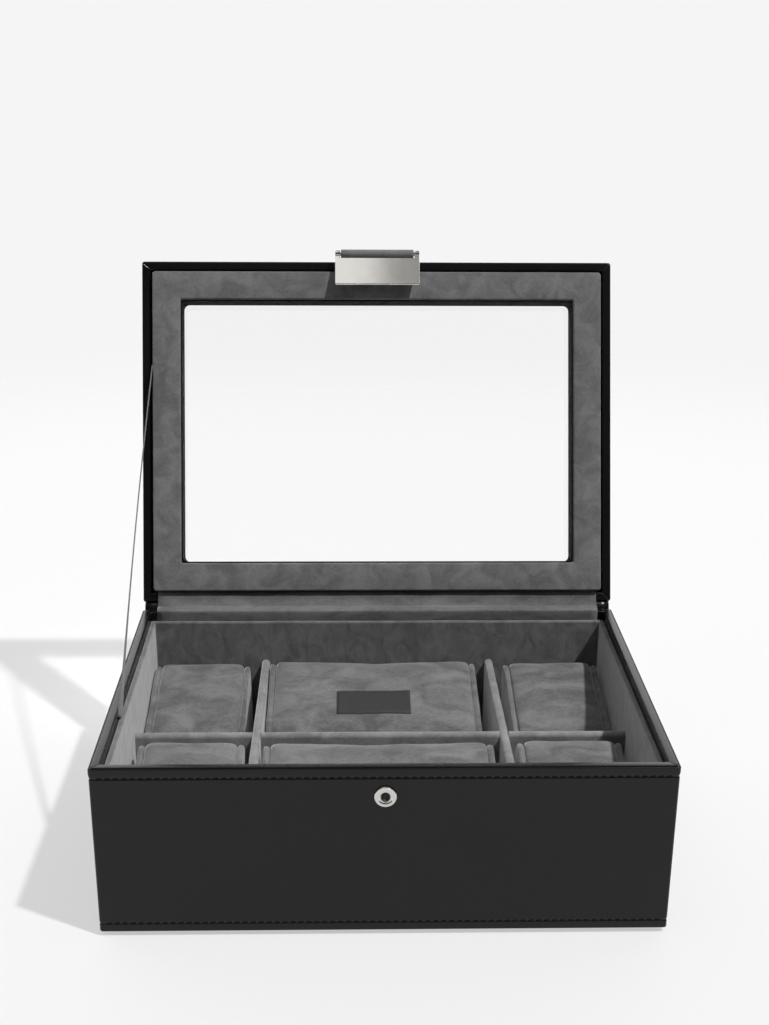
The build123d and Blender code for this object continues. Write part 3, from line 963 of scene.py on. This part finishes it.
def ribbon():
    """The ribbon's flat band with thin selvedges, from the wall to the lid."""
    low = Vector((RIBBON_X, RIBBON_Y, LINING_TOP + 0.5 * MM))
    high = opened(Vector((RIBBON_X, RIBBON_Y, LID_LOW - 0.5 * MM)))
    pull = (high - low).normalized()
    across = pull.cross(Vector((1, 0, 0)))
    outline = [(-1, 0.7), (-0.8, 1), (0.8, 1), (1, 0.7), (1, -0.7), (0.8, -1), (-0.8, -1), (-1, -0.7)]
    points, count = [], 100
    for k in range(count + 1):
        share = k / count
        centre = low.lerp(high, share)
        centre.x -= RIBBON_BOW * math.sin(math.pi * share)
        turn = RIBBON_TWIST * (1 - 2.6 * math.exp(-share / 0.12))
        for wide, thick in outline:
            side = across * math.cos(turn) + Vector((1, 0, 0)) * math.sin(turn)
            face = Vector((1, 0, 0)) * math.cos(turn) - across * math.sin(turn)
            points.append(centre + side * wide * RIBBON_W / 2 + face * thick * RIBBON_T / 2)
    faces = tube_faces(count + 1, len(outline), closed=False)
    faces += [tuple(range(len(outline))), tuple(count * len(outline) + k for k in range(len(outline)))]
    return new_piece("stay_ribbon_band", points, faces, grosgrain()), low, high


band, band_low, band_high = ribbon()
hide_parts("stay_ribbon")
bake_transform(band)


# ---- Latch -----------------------------------------------------------------------------------
# A leatherette strap on the lid's front edge holds a steel bar in a suede sleeve, and a nickel
# plate hangs from the bar by its two ears. A stud behind the plate presses into the snap.

BAR_AT = Vector(joints["latch_hang"]["pos_m"])
BAR_CLOSED = turned(BAR_AT, HINGE_AT, -OPEN_TURN)
PLATE_TURN = -math.radians(joints["latch_hang"]["range_deg"][0] + joints["latch_press"]["range_deg"][1])
BAR_R = 1.0 * MM
SLEEVE_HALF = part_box("latch_sleeve")[1].x
STRAP_T = 1.2 * MM
STRAP_LOW, STRAP_TOP = (corner.z for corner in closed_box("latch_strap"))
SEAM_TURN = math.radians(35)
PLATE_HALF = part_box("latch_plate")[1].x
PLATE_T = 1.2 * MM
PLATE_DROP = 19.0 * MM
PLATE_SHOULDER = 2.8 * MM
EAR_W = 2.6 * MM
EAR_R = 1.9 * MM


def latch_strap():
    """The strap, flat on the lid's face and gathered behind the sleeve."""
    face_y = -HALF_Y - STRAP_T / 2
    line = [(face_y, STRAP_TOP), (face_y, (STRAP_TOP + STRAP_LOW) / 2), (face_y, STRAP_LOW)]
    piece = strip("latch_strap_tab", [lid_yz(y, z) for y, z in line], STRAP_T, SLEEVE_HALF, 24, leather)
    rim = piece.modifiers.new("soft_edges", "BEVEL")
    rim.width = 0.25 * MM
    rim.segments = 2
    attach(piece, "lid")
    return piece


def latch_sleeve():
    """The sleeve: suede rolled once round the bar, with a lapped seam behind it."""
    roll_r, lap = BAR_R + 0.1 * MM + STRAP_T / 2, 0.3 * MM
    line = []
    for step in range(37):
        angle = SEAM_TURN - 2 * math.pi * step / 36 * 0.97
        radius = roll_r + lap * max(0, step - 32) / 4
        line.append((BAR_CLOSED.y + radius * math.cos(angle), BAR_CLOSED.z + radius * math.sin(angle)))
    spots = [lid_yz(y, z) for y, z in line]
    roll = strip("latch_sleeve_roll", spots, STRAP_T * 0.9, SLEEVE_HALF, 40, suede_sleeve)
    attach(roll, "lid")
    return roll


suede_sleeve = suede("suede_grey_sleeve", "#626362", "#747574")
tab = latch_strap()
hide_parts("latch_strap")
sleeve = latch_sleeve()
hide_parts("latch_sleeve")
refinish(bright_nickel, "latch_bar")


def seated(p):
    """A point of the closed, upright plate, where it lies on the open lid."""
    return opened(turned(p, BAR_CLOSED, PLATE_TURN))


def plate_piece():
    """The plate with its two ears, cut from sheet, with polished edges."""
    x, ear = PLATE_HALF, PLATE_HALF - EAR_W
    low, shoulder = -PLATE_DROP, -PLATE_SHOULDER
    outline = rounded(
        [
            (-x, low, 0.6 * MM),
            (x, low, 0.6 * MM),
            (x, 0, 0.3 * MM),
            (ear, 0, 0.3 * MM),
            (ear, shoulder, 0.4 * MM),
            (-ear, shoulder, 0.4 * MM),
            (-ear, 0, 0.3 * MM),
            (-x, 0, 0.3 * MM),
        ]
    )
    work = bmesh.new()
    front = [work.verts.new((p.x, -PLATE_T / 2, p.y)) for p in outline]
    sheet = work.faces.new(front)
    grown = bmesh.ops.extrude_face_region(work, geom=[sheet])
    for vert in (v for v in grown["geom"] if isinstance(v, bmesh.types.BMVert)):
        vert.co.y = PLATE_T / 2
    rims = [e for e in work.edges if abs(e.verts[0].co.y - e.verts[1].co.y) < 1e-7]
    bmesh.ops.bevel(work, geom=rims, offset=0.28 * MM, segments=3, affect="EDGES", profile=0.6)
    for side in (-1, 1):
        middle = side * (PLATE_HALF - EAR_W / 2)
        knuckle(work, middle - EAR_W / 2, middle + EAR_W / 2)
    bmesh.ops.recalc_face_normals(work, faces=work.faces)
    for vert in work.verts:
        vert.co = seated(vert.co + BAR_CLOSED)
    mesh = bpy.data.meshes.new("latch_plate_sheet")
    work.to_mesh(mesh)
    work.free()
    mesh.shade_smooth()
    mesh.materials.append(bright_nickel)
    piece = bpy.data.objects.new("latch_plate_sheet", mesh)
    scene.collection.objects.link(piece)
    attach(piece, "latch_plate")
    return even_shading(piece)


def knuckle(work, left, right, steps=28):
    """A curl of the plate round the bar, from left to right."""
    hole, chamfer = BAR_R + 0.05 * MM, 0.2 * MM
    line = [
        (hole, left),
        (EAR_R - chamfer, left),
        (EAR_R, left + chamfer),
        (EAR_R, right - chamfer),
        (EAR_R - chamfer, right),
        (hole, right),
    ]
    rings = []
    for radius, x in line:
        turns = [2 * math.pi * k / steps for k in range(steps)]
        rings.append([work.verts.new((x, radius * math.cos(t), radius * math.sin(t))) for t in turns])
    for k, ring in enumerate(rings):
        after = rings[(k + 1) % len(rings)]
        for j in range(steps):
            work.faces.new((ring[j], ring[(j + 1) % steps], after[(j + 1) % steps], after[j]))


plate = plate_piece()
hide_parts("latch_plate")
refinish(bright_nickel, "latch_stud")


# ---- Pillows ---------------------------------------------------------------------------------
# Six foam wedges in suede covers. Each cover is a band sewn to two end pieces, so a deep seam
# and a soft ridge run round both ends, and the band swells between the seams.

PILLOW_SPOTS = ("rear_left", "rear_middle", "rear_right", "front_left", "front_middle", "front_right")
PILLOW_BACK_H = 53.4 * MM
PILLOW_TILT = math.radians(13)
PILLOW_ROUNDS = tuple(r * MM for r in (5.0, 8.0, 13.0, 5.0))
SEAM_AT = 3.6 * MM
FOAM_SHRINK = 0.13
# (distance from the end, how far the surface lies inside the cover's outline), in millimetres
END_PROFILE = [
    (0.5, 3.0),
    (0.6, 2.2),
    (1.0, 1.5),
    (1.7, 1.2),
    (2.5, 1.35),
    (3.1, 1.8),
    (3.45, 2.5),
    (3.6, 2.9),
    (3.8, 2.5),
    (4.15, 1.5),
    (4.8, 0.8),
    (5.8, 0.35),
    (7.2, 0.12),
    (9.0, 0.0),
]
ROW_STEP = 4.0 * MM
LINE_STEP = 3.6 * MM
HELD_END = 4.6 * MM
SWELL_LIMIT = 1.6 * MM


def evenly(line, spacing):
    """A closed line cut again into equal steps near the spacing asked for."""
    ends = [line[(k + 1) % len(line)] for k in range(len(line))]
    lengths = [(b - a).length for a, b in zip(line, ends)]
    count = round(sum(lengths) / spacing)
    step = sum(lengths) / count
    cut, at, k = [], 0.0, 0
    for number in range(count):
        target = number * step
        while at + lengths[k] < target:
            at += lengths[k]
            k += 1
        cut.append(line[k].lerp(ends[k], (target - at) / lengths[k]))
    return cut


def wedge_line(depth, height):
    """The pillow's end view: (y from the back face, height) points, evenly spaced."""
    slope = math.tan(PILLOW_TILT)
    corners = [(0, 0), (0, height), (-depth, height - depth * slope), (-depth, 0)]
    return evenly(rounded([(*c, r) for c, r in zip(corners, PILLOW_ROUNDS)], steps=8), LINE_STEP)


def pillow_mesh(length, depth):
    """Points and faces of a cover before it swells, and the rows that the seams hold."""
    line = wedge_line(depth, PILLOW_BACK_H)
    count = len(line)
    normals = []
    for k in range(count):
        along = line[(k + 1) % count] - line[k - 1]
        normals.append(Vector((along.y, -along.x)).normalized())
    rows = [(-length / 2 + at * MM, inset * MM) for at, inset in END_PROFILE]
    inner = length / 2 - (END_PROFILE[-1][0] + 2.5) * MM
    spans = round(2 * inner / ROW_STEP)
    rows += [(-inner + 2 * inner * k / spans, 0.0) for k in range(spans + 1)]
    rows += [(length / 2 - at * MM, inset * MM) for at, inset in reversed(END_PROFILE)]
    points = []
    for x, inset in rows:
        for spot, out in zip(line, normals):
            points.append(Vector((x, spot.x - out.x * inset, spot.y - out.y * inset)))
    faces = tube_faces(len(rows), count, closed=False)
    middle = sum(line, Vector((0, 0))) / count
    for end, row in ((-1, 0), (1, len(rows) - 1)):
        rim = row * count
        for share, bulge in ((0.85, 0.25), (0.6, 0.45), (0.3, 0.5)):
            first = len(points)
            for k in range(count):
                edge = points[row * count + k]
                x = end * (length / 2 - 0.5 * MM + bulge * MM)
                points.append(Vector((x, middle.x, middle.y)).lerp(Vector((x, edge.y, edge.z)), share))
            for k in range(count):
                after = (k + 1) % count
                faces.append((rim + k, rim + after, first + after, first + k))
            rim = first
        points.append(Vector((end * length / 2, middle.x, middle.y)))
        tip = len(points) - 1
        faces += [(rim + k, rim + (k + 1) % count, tip) for k in range(count)]
    held = [k for k, p in enumerate(points) if abs(p.x) > length / 2 - HELD_END]
    return points, faces, held


def swell(piece, held):
    """Blow the cover up as cloth against its seams, and let each point move only a little."""
    before = [v.co.copy() for v in piece.data.vertices]
    group = piece.vertex_groups.new(name="seams")
    group.add(held, 1.0, "REPLACE")
    cloth = piece.modifiers.new("cloth", "CLOTH")
    cloth.settings.quality = 4
    cloth.settings.mass = 0.2
    cloth.settings.tension_stiffness = 12
    cloth.settings.compression_stiffness = 12
    cloth.settings.bending_stiffness = 0.4
    cloth.settings.use_pressure = True
    cloth.settings.uniform_pressure_force = 4
    cloth.settings.effector_weights.gravity = 0
    cloth.settings.vertex_group_mass = "seams"
    cloth.point_cache.frame_start = 1
    cloth.point_cache.frame_end = 20
    for number in range(1, 21):
        scene.frame_set(number)
    graph = bpy.context.evaluated_depsgraph_get()
    after = [v.co.copy() for v in piece.evaluated_get(graph).data.vertices]
    piece.modifiers.clear()
    scene.frame_set(1)
    for vert, old, new in zip(piece.data.vertices, before, after):
        move = new - old
        if move.length > SWELL_LIMIT:
            move *= SWELL_LIMIT / move.length
        vert.co = old + move


def pillow_cover(name, material, swelled):
    """One cover, swelled once for each length, set in its place with its own creases."""
    low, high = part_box(f"pillow_cover_{name}")
    length, depth = high.x - low.x, high.y - low.y
    size = round(length / MM)
    if size not in swelled:
        points, faces, held = pillow_mesh(length, depth)
        piece = new_piece("pillow_form", points, faces, material)
        swell(piece, held)
        finer = piece.modifiers.new("finer", "SUBSURF")
        finer.levels = 1
        finer.render_levels = 1
        graph = bpy.context.evaluated_depsgraph_get()
        swelled[size] = bpy.data.meshes.new_from_object(piece.evaluated_get(graph))
        bpy.data.objects.remove(piece)
    mesh = swelled[size].copy()
    middle = (low.x + high.x) / 2
    outward = [vert.normal.copy() for vert in mesh.vertices]
    for vert, out in zip(mesh.vertices, outward):
        p = vert.co + Vector((middle, high.y, low.z))
        crease = noise.noise(p / (19 * MM)) * 0.45 * MM + noise.noise(p / (7 * MM)) * 0.14 * MM
        p += out * crease
        p.z = max(p.z, low.z)
        vert.co = p
    mesh.shade_smooth()
    piece = bpy.data.objects.new(f"pillow_{name}", mesh)
    scene.collection.objects.link(piece)
    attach(piece, f"pillow_{name}")
    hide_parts(f"pillow_cover_{name}")
    return piece


def open_cell_foam():
    """Polyurethane foam: cream, matt, with open cells of about a millimetre."""
    material, tree, shader = new_material("foam_cream", "#E2D9BF", Roughness=0.95)
    cells = add_node(tree, "TexVoronoi", {"Vector": along_surface(tree), "Scale": 1 / (1.0 * MM)})
    bump = add_node(
        tree, "Bump", {"Height": cells.outputs["Distance"], "Strength": 0.7, "Distance": 0.3 * MM}
    )
    tree.links.new(bump.outputs["Normal"], shader.inputs["Normal"])
    return material


def foam_core(name, material):
    """The wedge of foam inside a cover, cut by wire, so its edges are square."""
    low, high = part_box(f"pillow_core_{name}")
    line = wedge_line(high.y - low.y, high.z - low.z)
    middle = sum(line, Vector((0, 0))) / len(line)
    points, rows = [], 12
    for k in range(rows + 1):
        x = low.x + SEAM_AT + (high.x - low.x - 2 * SEAM_AT) * k / rows
        for spot in line:
            inner = spot.lerp(middle, FOAM_SHRINK)
            points.append(Vector((x, high.y + inner.x, low.z + inner.y)))
    faces = tube_faces(rows + 1, len(line), closed=False)
    faces += [tuple(range(len(line))), tuple(rows * len(line) + k for k in range(len(line)))]
    core = new_piece(f"pillow_foam_{name}", points, faces, material, f"pillow_{name}")
    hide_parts(f"pillow_core_{name}")
    return even_shading(core)


suede_pillow = suede("suede_grey_pillow", "#525352", "#727372", stroke=1.6)
foam = open_cell_foam()
forms, pillows = {}, {}
for spot in PILLOW_SPOTS:
    pillows[spot] = pillow_cover(spot, suede_pillow, forms)
    foam_core(spot, foam)
for form in forms.values():
    bpy.data.meshes.remove(form)


# ---- Label -----------------------------------------------------------------------------------
# A small black patch of satin weave on the rear wide pillow, plain, with a raised edge where
# its weave is doubled under.

LABEL_W = 37.4 * MM
LABEL_L = 18.2 * MM
LABEL_T = 0.35 * MM


def satin_weave():
    """Woven damask: fine black polyester, a little shiny.

    Its threads are finer than can show, so they are drawn 0.5 mm apart.
    """
    material, tree, shader = new_material("label_damask", "#1B1718", Roughness=0.6, Sheen_Weight=0.15)
    place = along_surface(tree)
    waves = [
        add_node(tree, "TexWave", {"Vector": place, "Scale": 0.314 / (0.5 * MM)}, bands_direction=way)
        for way in ("X", "Y")
    ]
    warp, weft = (wave.outputs["Fac"] for wave in waves)
    weave = add_node(tree, "Math", {0: warp, 1: weft}, operation="MULTIPLY")
    tint = add_node(tree, "ValToRGB", {"Fac": weave.outputs[0]})
    tint.color_ramp.elements[0].color = linear("#151213")
    tint.color_ramp.elements[1].color = linear("#292526")
    bump = add_node(tree, "Bump", {"Height": weave.outputs[0], "Strength": 0.4, "Distance": 0.06 * MM})
    tree.links.new(tint.outputs["Color"], shader.inputs["Base Color"])
    tree.links.new(bump.outputs["Normal"], shader.inputs["Normal"])
    return material


def label_patch():
    """The patch, laid on the pillow's own surface."""
    low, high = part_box("blank_label")
    middle = (low + high) / 2
    slope = Vector((0, math.cos(PILLOW_TILT), math.sin(PILLOW_TILT)))
    up = Vector((0, -math.sin(PILLOW_TILT), math.cos(PILLOW_TILT)))
    ground = pillows["rear_middle"]
    surface = BVHTree.FromPolygons(
        [v.co.copy() for v in ground.data.vertices], [tuple(p.vertices) for p in ground.data.polygons]
    )
    across, down = 28, 16
    tops, faces = [], []
    for j in range(down + 1):
        for k in range(across + 1):
            u, v = 2 * k / across - 1, 2 * j / down - 1
            over = middle + Vector((u * LABEL_W / 2, 0, 0)) + slope * v * LABEL_L / 2 + up * 10 * MM
            hit = surface.ray_cast(over, -up)[0]
            edge = min((1 - abs(u)) * LABEL_W, (1 - abs(v)) * LABEL_L) / 2
            fold = 0.12 * MM if 0.2 * MM < edge < 1.6 * MM else 0.0
            tops.append(hit + up * (LABEL_T + fold))
    row = across + 1
    for j in range(down):
        for k in range(across):
            first = j * row + k
            faces.append((first, first + 1, first + row + 1, first + row))
    patch = new_piece("pillow_label", tops, faces, satin_weave(), "pillow_rear_middle")
    body = patch.modifiers.new("thickness", "SOLIDIFY")
    body.thickness = LABEL_T
    body.offset = -1.0
    return patch


label = label_patch()
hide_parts("blank_label")
